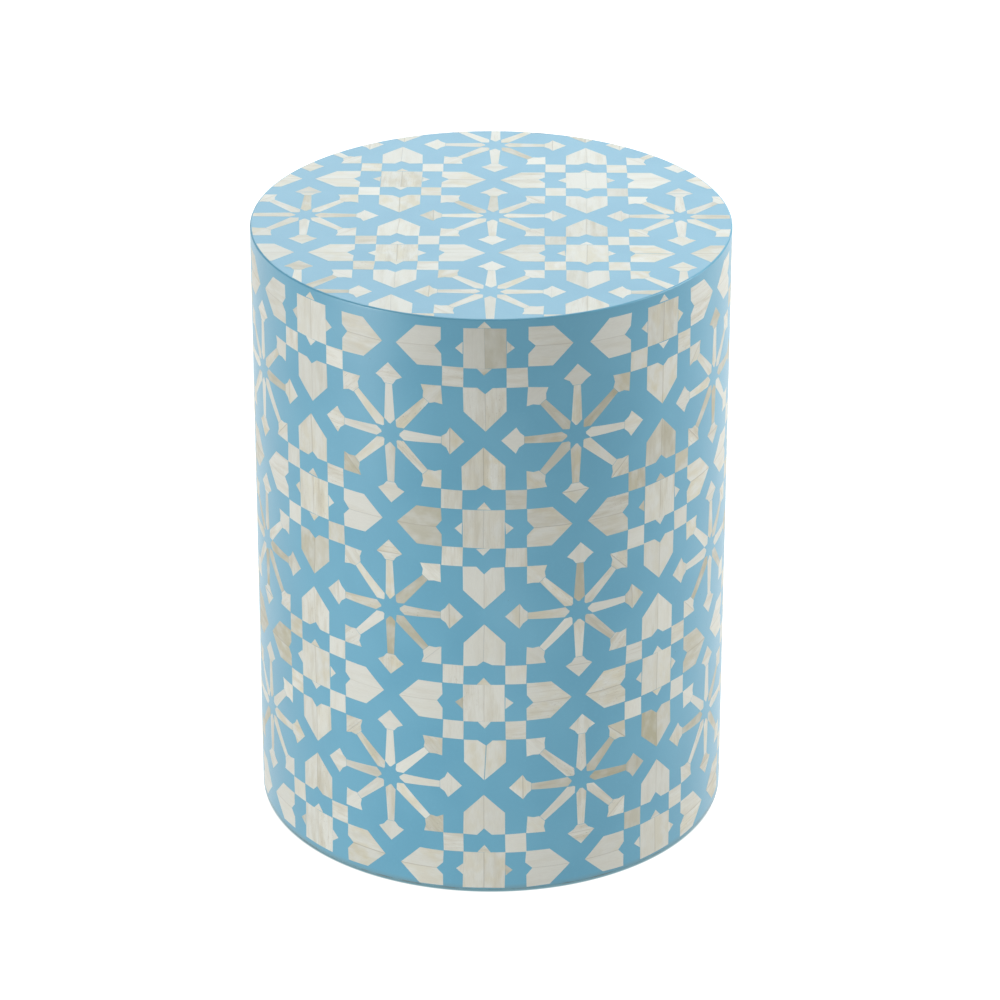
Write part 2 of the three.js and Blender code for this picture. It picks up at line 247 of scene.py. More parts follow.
@dataclass
class Tile:
    """A slip of bone: its corners, the angle of its grain, its tone and where it meets its other half,
    which is a point on the joint and the angle of the joint."""

    corners: list
    grain: float
    tone: Vector
    joint: tuple = None


@dataclass
class Lay:
    """How far a column of motifs is off its place, to the right and up, and how far each row is
    further to the right and up than the row below it."""

    across: float = 0
    up: float = 0
    across_row: float = 0
    up_row: float = 0


# The columns that show in front, by the number of their repeat
STAR_LAYS = {7: Lay(-1.2, 0.2, 0.9, 0), 0: Lay(0, -0.6, 0, 1.9), 1: Lay(1.7, -0.4, 0, 1)}
ROSETTE_LAYS = {
    7: Lay(-2.6, 3.3, 0, 0),
    0: Lay(-1, -1.1, 1.9, 0.4),
    1: Lay(0.4, -1.3, -2.8, 1.2),
    2: Lay(2, 2.6, 0, -1.2),
}


def slip_tone(dark_share=DARK_SHARE):
    """How light, how warm and how streaky a slip of bone is."""
    lightness = random_hand.gauss(0, LIGHTNESS_SPREAD)
    if random_hand.random() < dark_share:
        lightness -= DARK_STEP
    return Vector((lightness, random_hand.random(), random_hand.random()))


def strayed(point, stray):
    """A point moved a little by chance, with stray as its spread."""
    return Vector(point) + Vector((random_hand.gauss(0, stray), random_hand.gauss(0, stray)))


def cut(points):
    """The corners of an outline, as the hand cuts them."""
    return [strayed(point, CORNER_STRAY) for point in points]


def turned(point, angle):
    """A point turned about the origin."""
    return Matrix.Rotation(angle, 2) @ Vector(point)


def placed(tiles, shift, angle=0):
    """Turns tiles about the origin, then moves them."""
    result = []
    for tile in tiles:
        joint = tile.joint and (turned(tile.joint[0], angle) + shift, tile.joint[1] + angle)
        corners = [turned(corner, angle) + shift for corner in tile.corners]
        result.append(replace(tile, corners=corners, grain=tile.grain + angle, joint=joint))
    return result


def laid(tiles, place, angle=0):
    """Tiles as the hand lays them: a little off their place, and a little turned."""
    return placed(tiles, strayed(place, TILE_STRAY), angle + random_hand.gauss(0, TILE_TURN))


def joined_pair(start, end, right, left):
    """Two slips that meet on the line from start to end, with their grain along +Y. right has the
    corners on the right of that line, from start to end, and left those from end to start."""
    widths = OPEN_JOINT if random_hand.random() < OPEN_SHARE else TIGHT_JOINT
    line = end - start
    gap = Vector((line.y, -line.x)).normalized() * random_hand.uniform(*widths) / 2
    joint = (start, math.atan2(line.y, line.x))
    tone = slip_tone()
    other_tone = tone.lerp(slip_tone(), TONE_CHANGE)
    return [
        Tile([start + gap, *right, end + gap], UPRIGHT, tone, joint),
        Tile([end - gap, *left, start - gap], UPRIGHT, other_tone, joint),
    ]


def star_tiles(foot_point):
    """A square in two halves, with a separate point against each side. The one at its foot can be
    left out."""
    half = STAR_HALF
    foot, right_foot, right_top, top, left_top, left_foot = cut(
        [(0, -half), (half, -half), (half, half), (0, half), (-half, half), (-half, -half)]
    )
    tiles = joined_pair(foot, top, [right_foot, right_top], [left_top, left_foot])
    for quarter in range(4 if foot_point else 3):
        base = half + random_hand.uniform(*POINT_JOINT)
        point = cut([(base, -STAR_POINT_HALF), (half + STAR_POINT, 0), (base, STAR_POINT_HALF)])
        tiles += laid([Tile(point, UPRIGHT, slip_tone())], (0, 0), quarter * UPRIGHT)
    return tiles


def shield_tiles(length):
    """Points along +Y, in two halves, with a notch in its foot."""
    shoulder = length - STAR_HALF
    notch, tip = strayed((0, NOTCH_DEPTH), NOTCH_STRAY), strayed((0, length), CORNER_STRAY)
    right = cut([(NOTCH_HALF, 0), (STAR_HALF, 0), (STAR_HALF, shoulder)])
    left = cut([(-STAR_HALF, shoulder), (-STAR_HALF, 0), (-NOTCH_HALF, 0)])
    return joined_pair(notch, tip, right, left)


def square_tiles():
    """A small square of one slip, with its grain either way."""
    half = SQUARE_SIDE / 2
    corners = cut([(-half, -half), (half, -half), (half, half), (-half, half)])
    return [Tile(corners, random_hand.choice((0, UPRIGHT)), slip_tone())]


def cluster_tiles(star, pitch, pitch_up, above=True, below=True):
    """A star with a square at each of its corners and a shield off each of its sides. Those above it,
    or below it, can be left out."""
    across = (pitch - SHIELD_GAP) / 2 - CLUSTER_HALF
    up = (pitch_up - SHIELD_GAP) / 2 - CLUSTER_HALF
    out = STAR_HALF + SQUARE_SIDE / 2
    tiles = laid(star_tiles(foot_point=below), (0, 0))
    tiles += laid(shield_tiles(across), (CLUSTER_HALF, 0), -UPRIGHT)
    tiles += laid(shield_tiles(across), (-CLUSTER_HALF, 0), UPRIGHT)
    for side, wanted in ((1, above), (-1, below)):
        if wanted:
            tiles += laid(shield_tiles(up), (0, side * CLUSTER_HALF), 0 if side > 0 else math.pi)
            tiles += laid(square_tiles(), (out, side * out))
            tiles += laid(square_tiles(), (-out, side * out))
    return placed(tiles, star)


def spoke_tiles(reach, plain=False):
    """A tapered shaft along +X with an arrow head, which is often of two pieces. A plain one has no
    head, and its shaft runs on."""
    neck = reach - HEAD_LENGTH
    root = cut([(HUB_TIP, HUB_TIP_HALF), (HUB_TIP, -HUB_TIP_HALF)])
    right, left = cut([(SHOULDER, -SHOULDER_HALF), (SHOULDER, SHOULDER_HALF)])
    end = reach if plain else neck
    shaft = [*root, right, Vector((end, -SHAFT_END_HALF)), Vector((end, SHAFT_END_HALF)), left]
    tiles = [Tile(shaft, 0, slip_tone(DARK_SPOKE_SHARE))]
    if not plain:
        tiles += head_tiles(reach, neck + random_hand.uniform(*TIGHT_JOINT))
    return tiles


def head_tiles(reach, neck):
    """An arrow head whose tip is at reach, and whose waisted back edges meet the shaft at neck."""
    waist = reach - HEAD_WAIST_BACK
    side = reach - HEAD_HALF
    start, end, left_waist, right_waist = cut(
        [(side, -HEAD_HALF), (side, HEAD_HALF), (waist, HEAD_WAIST_HALF), (waist, -HEAD_WAIST_HALF)]
    )
    back = [left_waist, Vector((neck, NECK_HALF)), Vector((neck, -NECK_HALF)), right_waist]
    tip = Vector((reach, 0))
    if random_hand.random() < SPLIT_HEAD_SHARE:
        return joined_pair(start, end, [tip], back)
    return [Tile([start, tip, end, *back], random_hand.choice((0, UPRIGHT)), slip_tone())]


def rosette_tiles(centre, corners, reach, seat_centre=None):
    """Eight spokes. The slanted ones end on the corners of the squares round the rosette. Where the
    seat's rim would cut the head of a straight one, it is plain."""
    tiles = []
    for quarter, corner in enumerate(corners):
        straight = turned((reach, 0), quarter * UPRIGHT)
        plain = seat_centre is not None and (centre + straight - seat_centre).length > SEAT_FIELD
        tiles += laid(spoke_tiles(reach, plain), centre, quarter * UPRIGHT)
        slanted = corner - centre
        tiles += laid(spoke_tiles(slanted.length), centre, math.atan2(slanted.y, slanted.x))
    return tiles


def corners_round(right, left, row):
    """The corners of the four squares round a rosette, counter-clockwise from the upper right. right
    and left are the star columns beside it, and row is the row of stars below it."""
    return [
        right[row + 1] + CLUSTER_HALF * Vector((-1, -1)),
        left[row + 1] + CLUSTER_HALF * Vector((1, -1)),
        left[row] + CLUSTER_HALF * Vector((1, 1)),
        right[row] + CLUSTER_HALF * Vector((-1, 1)),
    ]


# Solid tiles


def add_flat_tile(inlay, tile):
    """Adds a tile as a flat face. Its corners carry the run of the grain, its tone and the distance
    from its joint."""
    vectors = inlay.verts.layers.float_vector
    distances = inlay.verts.layers.float["joint"]
    level = -random_hand.uniform(0, TILE_SINK)
    offset = Vector([random_hand.uniform(0, GRAIN_OFFSET) for _ in range(3)])
    along = turned((1, 0), tile.grain)
    across = turned((0, 1), tile.grain)
    verts = []
    for corner in tile.corners:
        vert = inlay.verts.new((*corner, level))
        vert[vectors["grain"]] = Vector((corner.dot(along), corner.dot(across), 0)) + offset
        vert[vectors["tone"]] = tile.tone
        vert[distances] = FREE_OF_JOINT
        if tile.joint:
            vert[distances] = (corner - tile.joint[0]).dot(turned((0, 1), tile.joint[1]))
        verts.append(vert)
    inlay.faces.new(verts)


def new_inlay():
    """An empty mesh whose corners carry what the bone's material reads."""
    inlay = bmesh.new()
    inlay.verts.layers.float_vector.new("grain")
    inlay.verts.layers.float_vector.new("tone")
    inlay.verts.layers.float.new("joint")
    return inlay


def everything(mesh):
    """All that bisect_plane has to cut."""
    return mesh.verts[:] + mesh.edges[:] + mesh.faces[:]


def thicken(inlay):
    """Makes flat tiles solid, downwards from their faces, and sands their upper edges. Where two slips
    are tight against each other, their edges stay sharp."""
    bmesh.ops.translate(inlay, verts=inlay.verts, vec=(0, 0, -BONE_THICKNESS))
    grown = bmesh.ops.extrude_face_region(inlay, geom=inlay.faces[:])
    upper = [part for part in grown["geom"] if isinstance(part, bmesh.types.BMVert)]
    bmesh.ops.translate(inlay, verts=upper, vec=(0, 0, BONE_THICKNESS))
    bmesh.ops.recalc_face_normals(inlay, faces=inlay.faces)
    upper = set(upper)
    distances = inlay.verts.layers.float["joint"]
    edges = [
        edge
        for edge in inlay.edges
        if upper.issuperset(edge.verts)
        and any(abs(face.normal.z) < WALL_LIMIT for face in edge.link_faces)
        and any(abs(vert[distances]) > TIGHT_JOINT[1] for vert in edge.verts)
    ]
    bmesh.ops.bevel(
        inlay,
        geom=edges,
        offset=BONE_EDGE,
        offset_type="OFFSET",
        segments=1,
        profile=0.5,
        affect="EDGES",
        material=-1,
    )


def finished(mesh, name, material, replaced):
    """Makes a mesh a piece of the stool that stands for the nodes it replaces."""
    bmesh.ops.scale(mesh, vec=(MM, MM, MM), verts=mesh.verts)
    data = bpy.data.meshes.new(name)
    mesh.to_mesh(data)
    mesh.free()
    data.shade_smooth()
    data.set_sharp_from_angle(angle=SHARP_ANGLE)
    data.materials.append(material)
    piece = bpy.data.objects.new(name, data)
    bpy.context.scene.collection.objects.link(piece)
    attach(piece, "root")
    if replaced:
        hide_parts(*replaced)
    return piece


def laid_column(lay, across, foot, count):
    """The places of a column's motifs, from the foot up."""
    if lay is None:
        strays = (COLUMN_STRAY, COLUMN_STRAY, ROW_STRAY, ROW_STRAY)
        lay = Lay(*[random_hand.gauss(0, stray) for stray in strays])
    places = []
    for row in range(count):
        from_middle = row - (count - 1) / 2
        x = across + lay.across + from_middle * lay.across_row
        y = foot + row * ROW_PITCH + lay.up + from_middle * lay.up_row
        places.append(strayed((x, y), MOTIF_STRAY))
    return places


def side_grid():
    """Where the stars and the rosettes of each column are laid, by row from the foot."""
    stars, rosettes = [], []
    for column in range(COLUMNS):
        across = column * PITCH
        stars.append(laid_column(STAR_LAYS.get(column), across, FOOT_STAR_LEVEL, STAR_ROWS))
        foot = FOOT_STAR_LEVEL + ROW_PITCH / 2
        lay = ROSETTE_LAYS.get(column)
        rosettes.append(laid_column(lay, across - PITCH / 2, foot, STAR_ROWS - 1))
    return stars, rosettes


def side_bone(column, stars, rosettes, material):
    """One repeat of the side: a column of stars and the column of rosettes to its left."""
    inlay = new_inlay()
    right = stars[column]
    left = stars[column - 1]
    if column == 0:
        left = [star - Vector((COLUMNS * PITCH, 0)) for star in left]
    tiles = []
    for row, star in enumerate(right):
        above = row < STAR_ROWS - 1
        tiles += cluster_tiles(star, PITCH, ROW_PITCH, above, below=row > 0)
        if above:
            reach = math.hypot(PITCH / 2 - CLUSTER_HALF, ROW_PITCH / 2 - CLUSTER_HALF)
            corners = corners_round(right, left, row)
            tiles += rosette_tiles(rosettes[column][row], corners, reach)
    for tile in tiles:
        add_flat_tile(inlay, tile)
    thicken(inlay)
    bend_round_drum(inlay, (column - 1) * PITCH, 2 * PITCH)
    number = column + 1
    finished(inlay, f"side_bone_{number}", material, [f"side_inlay_panel_{number}"])


def bend_round_drum(inlay, first, width):
    """Bends flat tiles that lie between first and first + width, cut in narrow strips."""
    for step in range(1, math.ceil(width / BEND_STEP)):
        bmesh.ops.bisect_plane(
            inlay,
            geom=everything(inlay),
            dist=BEND_SNAP,
            plane_co=(first + step * BEND_STEP, 0, 0),
            plane_no=(1, 0, 0),
        )
    for vert in inlay.verts:
        angle = vert.co.x / DRUM_RADIUS
        radius = DRUM_RADIUS + vert.co.z
        vert.co = (radius * math.sin(angle), -radius * math.cos(angle), vert.co.y)


def seat_bone(material):
    """The same pattern on a square grid over the seat, cut to the rim."""
    inlay = new_inlay()
    count = 2 * math.ceil(DRUM_RADIUS / SEAT_PITCH) + 2
    first = -(count - 1) / 2 * SEAT_PITCH
    places = [first + step * SEAT_PITCH for step in range(count)]
    stars = [[strayed((x, y), MOTIF_STRAY) for y in places] for x in places]
    reach = math.hypot(SEAT_PITCH / 2 - CLUSTER_HALF, SEAT_PITCH / 2 - CLUSTER_HALF)
    tiles = []
    for left, right in zip(stars, stars[1:]):
        for row in range(count - 1):
            corners = corners_round(right, left, row)
            centre = strayed(sum(corners, Vector((0, 0))) / 4, MOTIF_STRAY)
            tiles += rosette_tiles(centre, corners, reach, seat_centre=-SEAT_SHIFT)
            tiles += cluster_tiles(right[row], SEAT_PITCH, SEAT_PITCH)
    for tile in placed(tiles, SEAT_SHIFT, SEAT_TURN):
        tile.tone = Vector((tile.tone.x * SEAT_TONE_SHARE, tile.tone.y, tile.tone.z))
        add_flat_tile(inlay, tile)
    cut_to_rim(inlay)
    thicken(inlay)
    bmesh.ops.translate(inlay, verts=inlay.verts, vec=(0, 0, SEAT_LEVEL))
    nodes = [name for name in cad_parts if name.startswith(("seat_inlay", "seat_edge_tile"))]
    finished(inlay, "seat_bone", material, nodes)


def cut_to_rim(inlay):
    """Takes off what lies past the edge of the seat's field."""
    for facet in range(FIELD_FACETS):
        angle = FULL_TURN * facet / FIELD_FACETS
        outward = Vector((math.cos(angle), math.sin(angle), 0))
        bmesh.ops.bisect_plane(
            inlay,
            geom=everything(inlay),
            plane_co=outward * SEAT_FIELD,
            plane_no=outward,
            clear_outer=True,
        )


def resin_skin(material):
    """One cast skin round the side and over the seat, with a rounded rim and a bevelled foot."""
    outer = DRUM_RADIUS - SKIN_BELOW_BONE
    top = SEAT_LEVEL - SKIN_BELOW_BONE
    inner = WRAP_RADIUS + SKIN_GAP
    ceiling = BOARD_TOP + SKIN_GAP
    field = outer - RIM_RADIUS
    shoulder = top - RIM_RADIUS
    profile = [
        (0, ceiling),
        (inner, ceiling),
        (inner, FOOT_LEVEL),
        (outer - FOOT_BEVEL, FOOT_LEVEL),
        (outer, FOOT_LEVEL + FOOT_BEVEL),
        (outer, FOOT_LEVEL + FOOT_BEVEL + LOOP_GUARD),
        (outer, shoulder - LOOP_GUARD),
    ]
    for step in range(QUARTER_STEPS + 1):
        angle = UPRIGHT * step / QUARTER_STEPS
        profile.append((field + RIM_RADIUS * math.cos(angle), shoulder + RIM_RADIUS * math.sin(angle)))
    profile += [(field - LOOP_GUARD, top), (0, top)]
    skin = turned_mesh(profile, SKIN_STEPS)
    finished(skin, "resin_skin", material, ["side_resin", "seat_resin"])


def turned_mesh(profile, steps, start=0, angle=FULL_TURN):
    """Spins a profile of radii and heights round the axis. The ends of a part turn are closed."""
    mesh = bmesh.new()
    verts = [mesh.verts.new((radius, 0, height)) for radius, height in profile]
    for first, second in zip(verts, verts[1:]):
        mesh.edges.new((first, second))
    whole = angle == FULL_TURN
    if not whole:
        mesh.edges.new((verts[-1], verts[0]))
    bmesh.ops.rotate(mesh, verts=mesh.verts, cent=(0, 0, 0), matrix=Matrix.Rotation(start, 3, "Z"))
    bmesh.ops.spin(
        mesh,
        geom=mesh.verts[:] + mesh.edges[:],
        cent=(0, 0, 0),
        axis=(0, 0, 1),
        angle=angle,
        steps=steps,
        use_merge=whole,
    )
    bmesh.ops.remove_doubles(mesh, verts=mesh.verts, dist=MERGE_DISTANCE)
    if not whole:
        bmesh.ops.holes_fill(mesh, edges=mesh.edges)
    bmesh.ops.recalc_face_normals(mesh, faces=mesh.faces)
    return mesh


def eased_profile(inner, outer, bottom, top):
    """A rectangle whose lower corners are eased."""
    return [
        (inner, top),
        (inner, bottom + ARRIS),
        (inner + ARRIS, bottom),
        (outer - ARRIS, bottom),
        (outer, bottom + ARRIS),
        (outer, top),
    ]


def ply_wrap(name, joint_angle, material):
    """A bent sheet whose ends meet in a butt joint."""
    low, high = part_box(name)
    outer = high.x / MM
    profile = eased_profile(outer - PLY_THICKNESS, outer, low.z / MM, high.z / MM)
    gap = BUTT_GAP / outer
    sheet = turned_mesh(profile, BOARD_STEPS, joint_angle + gap / 2, FULL_TURN - gap)
    finished(sheet, f"{name}_sheet", material, [name])


def base_disc(material):
    """The base board, with both its edges eased."""
    low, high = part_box("base_board")
    bottom, top, radius = low.z / MM, high.z / MM, high.x / MM
    profile = [
        (0, bottom),
        (radius - ARRIS, bottom),
        (radius, bottom + ARRIS),
        (radius, top - ARRIS),
        (radius - ARRIS, top),
        (0, top),
    ]
    finished(turned_mesh(profile, BOARD_STEPS), "base_disc", material, ["base_board"])


def glide_place(name):
    """The middle of a glide's underside."""
    low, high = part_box(name)
    return Vector(((low.x + high.x) / 2, (low.y + high.y) / 2, low.z)) / MM


def turned_glide(number, material):
    """A moulded glide with a rounded edge and draft, and the dimple of its gate underneath."""
    name = f"glide_{number}"
    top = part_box(name)[1].z / MM
    profile = [(0, GATE_DEPTH), (GATE_RADIUS - GATE_DEPTH, GATE_DEPTH), (GATE_RADIUS, 0)]
    for step in range(QUARTER_STEPS + 1):
        angle = UPRIGHT * step / QUARTER_STEPS
        radius = GLIDE_RADIUS - GLIDE_ROUND * (1 - math.sin(angle))
        profile.append((radius, GLIDE_ROUND * (1 - math.cos(angle))))
    profile += [(GLIDE_RADIUS - GLIDE_DRAFT, top), (0, top)]
    glide = turned_mesh(profile, GLIDE_STEPS)
    bmesh.ops.translate(glide, verts=glide.verts, vec=glide_place(name))
    finished(glide, f"turned_glide_{number}", material, [name])


def screw_head(screws, place):
    """Adds a pan head that hangs under place, with a cross recess."""
    head = bmesh.new()
    rim = bmesh.ops.create_circle(head, cap_ends=True, segments=SCREW_STEPS, radius=SCREW_RADIUS)
    edges = list({edge for vert in rim["verts"] for edge in vert.link_edges})
    rounds = [(SCREW_RADIUS, SCREW_BRIM)]
    for step in range(1, QUARTER_STEPS + 1):
        angle = UPRIGHT * step / QUARTER_STEPS
        radius = SCREW_FLAT + (SCREW_RADIUS - SCREW_FLAT) * math.cos(angle)
        rounds.append((radius, SCREW_BRIM + (SCREW_RISE - SCREW_BRIM) * math.sin(angle)))
    now_radius, now_depth = SCREW_RADIUS, 0
    for radius, depth in rounds:
        grown = bmesh.ops.extrude_edge_only(head, edges=edges)["geom"]
        verts = [part for part in grown if isinstance(part, bmesh.types.BMVert)]
        edges = [part for part in grown if isinstance(part, bmesh.types.BMEdge)]
        factor = radius / now_radius
        bmesh.ops.scale(head, vec=(factor, factor, 1), verts=verts)
        bmesh.ops.translate(head, vec=(0, 0, now_depth - depth), verts=verts)
        now_radius, now_depth = radius, depth
    cross_recess(head, edges)
    bmesh.ops.translate(head, vec=place, verts=head.verts)
    part = bpy.data.meshes.new("screw_head")
    head.to_mesh(part)
    head.free()
    screws.from_mesh(part)
    bpy.data.meshes.remove(part)


def cross_recess(head, edges):
    """Sinks a cross in the flat of a head, whose outline is the loop of edges."""
    corners = []
    for quarter in range(4):
        arm = [(RECESS_REACH, -RECESS_HALF), (RECESS_REACH, RECESS_HALF), (RECESS_HALF, RECESS_HALF)]
        corners += [turned(point, quarter * UPRIGHT) for point in arm]
    cross = head.faces.new([head.verts.new((*corner, -SCREW_RISE)) for corner in corners])
    bmesh.ops.bridge_loops(head, edges=edges + list(cross.edges))
    sunk = bmesh.ops.extrude_discrete_faces(head, faces=[cross])["faces"][0]
    bmesh.ops.translate(head, vec=(0, 0, RECESS_DEPTH), verts=sunk.verts)
    bmesh.ops.scale(head, vec=(RECESS_FLOOR_SHARE, RECESS_FLOOR_SHARE, 1), verts=sunk.verts)


def base_screws(material):
    """The screws that hold the base board to the lower former ring, between the glides."""
    reach = glide_place("glide_1").to_2d().length
    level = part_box("base_board")[0].z / MM
    screws = bmesh.new()
    for number in range(SCREW_COUNT):
        angle = FULL_TURN * number / SCREW_COUNT
        screw_head(screws, (reach * math.cos(angle), reach * math.sin(angle), level))
    bmesh.ops.recalc_face_normals(screws, faces=screws.faces)
    finished(screws, "base_screws", material, [])


# Materials


def add(tree, kind, inputs=None, **settings):
    """Adds a shader node with its settings. An input is a value, or another node's output."""
    node = tree.nodes.new("ShaderNode" + kind)
    for name, value in settings.items():
        setattr(node, name, value)
    for name, value in (inputs or {}).items():
        if isinstance(value, bpy.types.NodeSocket):
            tree.links.new(value, node.inputs[name])
        else:
            node.inputs[name].default_value = value
    return node


def new_material(name, roughness, ior):
    """A material with its node tree and its shader."""
    material = bpy.data.materials.new(name)
    material.use_nodes = True
    shader = material.node_tree.nodes["Principled BSDF"]
    shader.inputs["Roughness"].default_value = roughness
    shader.inputs["IOR"].default_value = ior
    return material, material.node_tree, shader


def noise(tree, vector, size, detail=3, roughness=0.5):
    """Noise whose features are size long along each axis, from 0 to 1."""
    scale = tuple(1 / length for length in size)
    stretched = add(tree, "VectorMath", {0: vector, 1: scale}, operation="MULTIPLY").outputs["Vector"]
    settings = {"Vector": stretched, "Scale": 1, "Detail": detail, "Roughness": roughness}
    return add(tree, "TexNoise", settings).outputs["Fac"]


def ranged(tree, value, low, high, to_low=0, to_high=1):
    """A value that goes from to_low to to_high as another goes from low to high."""
    inputs = {"Value": value, "From Min": low, "From Max": high, "To Min": to_low, "To Max": to_high}
    return add(tree, "MapRange", inputs).outputs["Result"]


def mixed(tree, factor, first, second, blend="MIX"):
    """The first colour where the factor is 0, and the second where it is 1. A Mix node has sockets of
    the same names for numbers and vectors, so those of its colours go by their place."""
    inputs = {0: factor, 6: first, 7: second}
    return add(tree, "Mix", inputs, data_type="RGBA", blend_type=blend).outputs[2]


def product(tree, first, second):
    """One value times another."""
    return add(tree, "Math", {0: first, 1: second}, operation="MULTIPLY").outputs["Value"]


def object_place(tree):
    """Where a point is on the stool, in millimetres."""
    place = add(tree, "TexCoord").outputs["Object"]
    return add(tree, "VectorMath", {0: place, "Scale": 1 / MM}, operation="SCALE").outputs["Vector"]


def axis_distance(tree, place):
    """How far a place is from the drum's axis."""
    flat = add(tree, "VectorMath", {0: place, 1: (1, 1, 0)}, operation="MULTIPLY").outputs["Vector"]
    return add(tree, "VectorMath", {0: flat}, operation="LENGTH").outputs["Value"]


def bumped(tree, shader, height, strength, depth, under=None):
    """Adds a bump of a height that runs from 0 to 1 over a depth in millimetres."""
    inputs = {"Height": height, "Strength": strength, "Distance": depth * MM}
    if under:
        inputs["Normal"] = under
    normal = add(tree, "Bump", inputs).outputs["Normal"]
    tree.links.new(normal, shader.inputs["Normal"])
    return normal


def bone_material():
    """Camel bone, sawn along the shaft into slips, sanded flush and polished. Each slip is ivory in a
    shade of its own, with fine fibres along it, olive clouds and streaks where it was cut near the
    marrow, short dark pores and a low gloss. Glue and dust darken the line where two slips meet."""
    material, tree, shader = new_material("polished_bone", roughness=0.46, ior=1.5)
    grain = add(tree, "Attribute", attribute_name="grain").outputs["Vector"]
    tone_vector = add(tree, "Attribute", attribute_name="tone").outputs["Vector"]
    joint = add(tree, "Attribute", attribute_name="joint").outputs["Fac"]
    tone = add(tree, "SeparateXYZ", {"Vector": tone_vector})
    lightness, warmth, figure = (tone.outputs[axis] for axis in "XYZ")
    patches = noise(tree, grain, BONE_PATCH, detail=2)
    clouds = noise(tree, grain, BONE_CLOUD)
    streaks = noise(tree, grain, BONE_STREAK, detail=4, roughness=0.6)
    fibres = noise(tree, grain, BONE_FIBRE, detail=2)
    pores = noise(tree, grain, BONE_PORE, detail=1)

    warm = product(tree, ranged(tree, patches, 0.38, 0.62), ranged(tree, warmth, 0.25, 1))
    base = mixed(tree, warm, linear("#e5e6dd"), linear("#dcd7c0"))
    cloudy = product(tree, ranged(tree, clouds, 0.45, 0.7), ranged(tree, figure, 0.1, 1, 0.1, 0.85))
    base = mixed(tree, cloudy, base, linear("#cbc6b2"))
    streaky = product(tree, ranged(tree, streaks, 0.52, 0.72), ranged(tree, figure, 0.3, 1, 0.05, 0.35))
    base = mixed(tree, streaky, base, linear("#b9ae95"))
    slip_value = ranged(tree, lightness, -1, 1, 0.85, 1.09)
    value = product(tree, ranged(tree, fibres, 0.3, 0.7, 0.96, 1.02), slip_value)
    grey = add(tree, "CombineColor", {"Red": value, "Green": value, "Blue": value}).outputs["Color"]
    base = mixed(tree, 1, base, grey, blend="MULTIPLY")
    olive = ranged(tree, patches, 0.3, 0.6, 0.2, 0.6)
    marrow = product(tree, ranged(tree, lightness, -0.3, -1.1), olive)
    base = mixed(tree, marrow, base, linear("#a8a383"))
    porous = product(tree, ranged(tree, pores, 0.7, 0.76), ranged(tree, figure, 0.5, 0.9, 0, 0.75))
    base = mixed(tree, porous, base, linear("#8b7a5c"))
    distance = add(tree, "Math", {0: joint}, operation="ABSOLUTE").outputs["Value"]
    near_joint = ranged(tree, distance, GLUE_CORE, GLUE_REACH, 1, 0)
    glued = product(tree, near_joint, ranged(tree, warmth, 0, 1, 0.1, 0.5))
    base = mixed(tree, glued, base, linear("#8f8269"))
    tree.links.new(base, shader.inputs["Base Color"])
    tree.links.new(ranged(tree, fibres, 0.3, 0.7, 0.4, 0.52), shader.inputs["Roughness"])
    relief = add(tree, "Math", {0: fibres, 1: porous}, operation="SUBTRACT").outputs["Value"]
    bumped(tree, shader, relief, strength=0.3, depth=0.03)
    return material


def resin_material():
    """Polyester resin with sky-blue pigment, cast round the bone, sanded and waxed: an even milky blue
    with faint clouds of pigment, fine sanding marks, a few pinholes left by bubbles, a satin gloss and
    a lower edge greyed by dust and darkened by scuffs, both with painted shade near the floor."""
    material, tree, shader = new_material("sky_blue_polyester_resin", roughness=0.33, ior=1.54)
    place = object_place(tree)
    clouds = noise(tree, place, PIGMENT_CLOUD, detail=2)
    pigment = noise(tree, place, PIGMENT_SPECK)
    sanding = noise(tree, place, SANDING_MARK, detail=2)
    waves = noise(tree, place, CASTING_WAVE, detail=1)
    base = mixed(tree, ranged(tree, clouds, 0.35, 0.65), linear("#65a9c5"), linear("#6baec9"))
    base = mixed(tree, ranged(tree, pigment, 0.55, 0.75, 0, 0.35), base, linear("#6fb4cf"))
    bubbles = add(tree, "TexVoronoi", {"Vector": place, "Scale": 1 / BUBBLE_SPACING}).outputs["Distance"]
    pinhole = ranged(tree, bubbles, BUBBLE_RADIUS / BUBBLE_SPACING, 0, 0, 1)
    base = mixed(tree, pinhole, base, linear("#3d6a7c"))
    height = add(tree, "SeparateXYZ", {"Vector": place}).outputs["Z"]
    # Dust and painted shade: the resin greys over the lowest few millimetres above its foot.
    near_foot = ranged(tree, height, FOOT_LEVEL, FOOT_LEVEL + DUST_AND_SHADE_HEIGHT, 0.58, 0)
    dust_and_shade = product(tree, near_foot, ranged(tree, clouds, 0.3, 0.6, 0.6, 1))
    base = mixed(tree, dust_and_shade, base, linear("#79877d"))
    # Scuffs and painted shade: the bevel of the foot and the resin just above it are darkened to a
    # brownish grey.
    at_foot = ranged(tree, height, FOOT_LEVEL + FOOT_BEVEL, FOOT_LEVEL + SCUFF_AND_SHADE_HEIGHT, 0.9, 0)
    scuff_and_shade = product(tree, at_foot, ranged(tree, waves, 0.5, 0.62))
    base = mixed(tree, scuff_and_shade, base, linear("#6a6459"))
    tree.links.new(base, shader.inputs["Base Color"])
    tree.links.new(ranged(tree, sanding, 0.3, 0.7, 0.28, 0.38), shader.inputs["Roughness"])
    marks = bumped(tree, shader, sanding, strength=0.12, depth=0.03)
    bumped(tree, shader, waves, strength=0.3, depth=0.06, under=marks)
    return material


